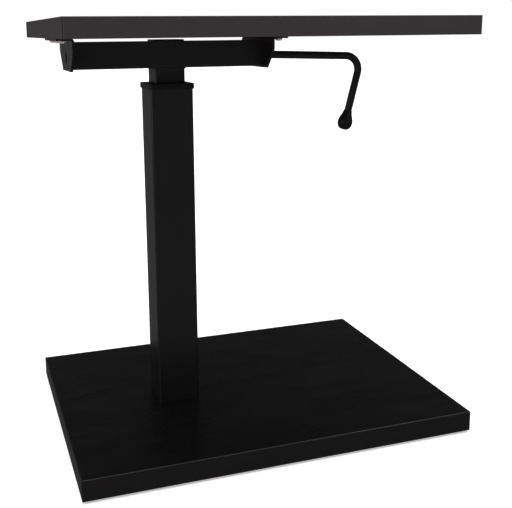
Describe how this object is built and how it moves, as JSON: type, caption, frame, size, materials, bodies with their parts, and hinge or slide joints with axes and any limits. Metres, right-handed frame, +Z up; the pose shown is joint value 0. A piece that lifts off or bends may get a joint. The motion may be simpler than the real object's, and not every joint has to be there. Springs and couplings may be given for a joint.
{
  "type": "height adjustable standing desk",
  "caption": "Rectangular desk on an off-centre square telescopic lift column with a panel base, a beam with folded end plates and a bent release lever with a knob.",
  "frame": {"origin": "on the floor under the centre of the base panel", "axes": "+Z up, +X along the desktop's long side towards the lever's knob, +Y towards the back"},
  "size_m": [0.692, 0.552, 0.73],
  "materials": {
    "desktop_laminate": "charcoal melamine laminate on board, satin, very fine grain",
    "desktop_edge_band": "charcoal plastic edge band, satin",
    "base_laminate": "black melamine laminate on board, satin",
    "base_edge_band": "black plastic edge band, satin",
    "black_powder_coat": "black powder coat, semi-gloss, slight orange peel",
    "black_plastic": "moulded black nylon, satin",
    "knob_plastic": "moulded black phenolic, satin",
    "black_rubber": "black rubber, matt",
    "white_acetal": "natural white acetal, satin",
    "zinc_steel": "zinc plated or ground steel"
  },
  "bodies": {
    "base": {"base_panel": "base_laminate", "base_edge_band_right": "base_edge_band", "base_edge_band_back": "base_edge_band", "base_edge_band_left": "base_edge_band", "base_edge_band_front": "base_edge_band", "glide_front_left": "black_rubber", "glide_front_right": "black_rubber", "glide_back_left": "black_rubber", "glide_back_right": "black_rubber", "foot_plate": "black_powder_coat", "foot_screw_1": "zinc_steel", "foot_screw_2": "zinc_steel", "foot_screw_3": "zinc_steel", "foot_screw_4": "zinc_steel", "foot_screw_5": "zinc_steel", "foot_screw_6": "zinc_steel", "foot_screw_7": "zinc_steel", "foot_screw_8": "zinc_steel", "outer_tube": "black_powder_coat", "column_collar": "black_plastic", "upper_guide_bush": "white_acetal", "bottom_bumper": "black_rubber", "gas_cylinder": "black_powder_coat", "cylinder_gland": "zinc_steel", "gas_spring_bolt": "zinc_steel"},
    "lift_frame": {"inner_tube": "black_powder_coat", "lower_guide_bush": "white_acetal", "head_plate": "black_powder_coat", "piston_rod_nut": "zinc_steel", "piston_rod": "zinc_steel", "piston": "zinc_steel", "beam_channel": "black_powder_coat", "end_plate_right": "black_powder_coat", "end_plate_left": "black_powder_coat", "desktop_panel": "desktop_laminate", "desktop_edge_band_right": "desktop_edge_band", "desktop_edge_band_back": "desktop_edge_band", "desktop_edge_band_left": "desktop_edge_band", "desktop_edge_band_front": "desktop_edge_band", "desktop_screw_1": "zinc_steel", "desktop_screw_2": "zinc_steel", "desktop_screw_3": "zinc_steel", "desktop_screw_4": "zinc_steel", "desktop_screw_5": "zinc_steel", "desktop_screw_6": "zinc_steel", "lever_bracket": "black_powder_coat", "lever_pivot_pin": "zinc_steel", "pivot_pin_clip": "zinc_steel"},
    "lever": {"lever_rod": "black_powder_coat", "lever_knob": "knob_plastic"},
    "release_valve": {"release_rod": "zinc_steel"}
  },
  "joints": [
    {"name": "desk_lift", "type": "slide", "parent": "base", "child": "lift_frame", "axis": [0, 0, 1], "range_m": [0, 0.4]},
    {"name": "lever_lift", "type": "hinge", "parent": "lift_frame", "child": "lever", "pos_m": [-0.0315, 0, 0.6697], "axis": [0, -1, 0], "range_deg": [0, 1.75], "stiffness_Nm_per_rad": 20},
    {"name": "valve_press", "type": "slide", "parent": "lift_frame", "child": "release_valve", "axis": [0, 0, -1], "range_m": [0, 0.0031]}
  ],
  "couplings": [
    {"joint": "valve_press", "follows": "lever_lift", "m_per_rad": 0.1}
  ]
}
